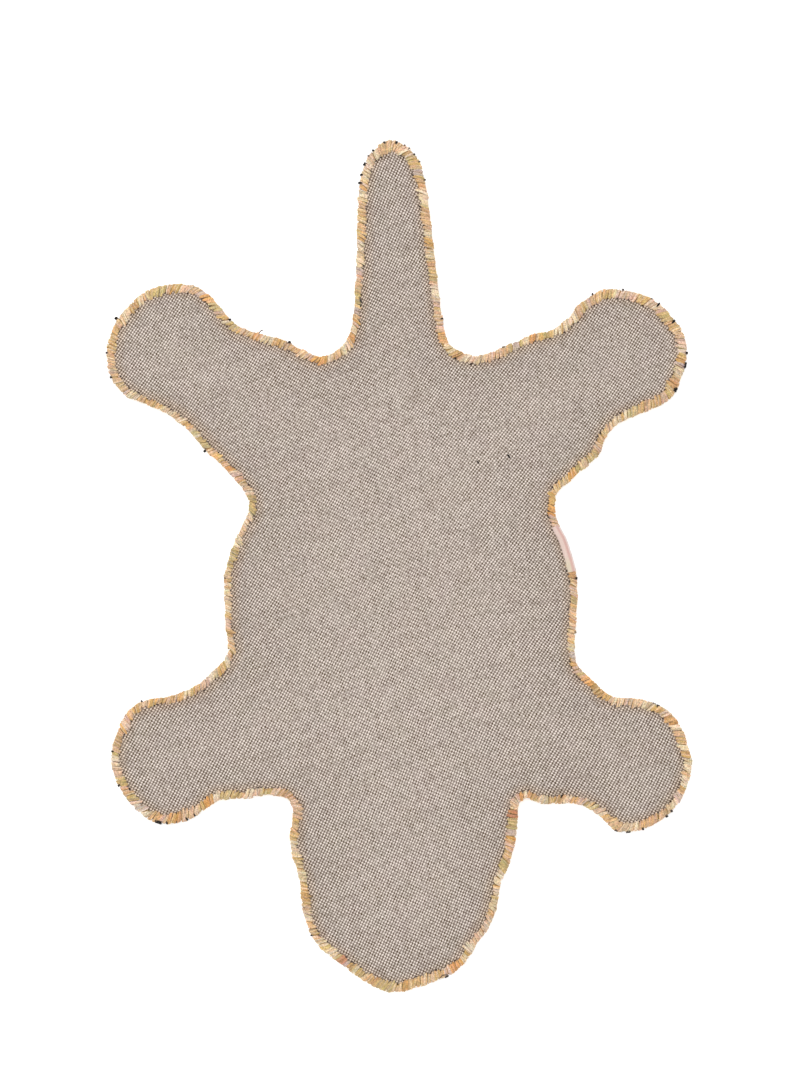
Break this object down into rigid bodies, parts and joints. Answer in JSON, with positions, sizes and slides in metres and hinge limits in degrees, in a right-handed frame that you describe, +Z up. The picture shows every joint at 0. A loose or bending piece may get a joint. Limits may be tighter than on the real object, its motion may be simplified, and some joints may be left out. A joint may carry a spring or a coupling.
{
  "type": "animal shaped kids rug",
  "caption": "Small tufted floor rug cut to the outline of an animal pelt, with a woven backing and a whipped yarn edge, lying pile side down.",
  "frame": {"origin": "on the floor under the middle of the rug's bounding box", "axes": "+Z up with the woven backing on top and the pile on the floor, +Y from the head to the tail, +X across the rug to the flank that carries the label"},
  "size_m": [0.619, 0.902, 0.0147],
  "materials": {
    "backing_cotton": "two-tone plain weave of cream and grey-brown cotton, matt",
    "edge_yarn": "whipped yarn in mixed ochre, peach, cream, pink and khaki, matt",
    "pile_yarn": "short cut pile, matt, with dark tips at the rim",
    "label_ribbon": "woven ribbon, cream and pale pink, bare"
  },
  "bodies": {
    "root": {"backing_cloth": "backing_cotton", "edge_whipping": "edge_yarn", "tufted_pile": "pile_yarn", "woven_label": "label_ribbon"}
  },
  "joints": []
}
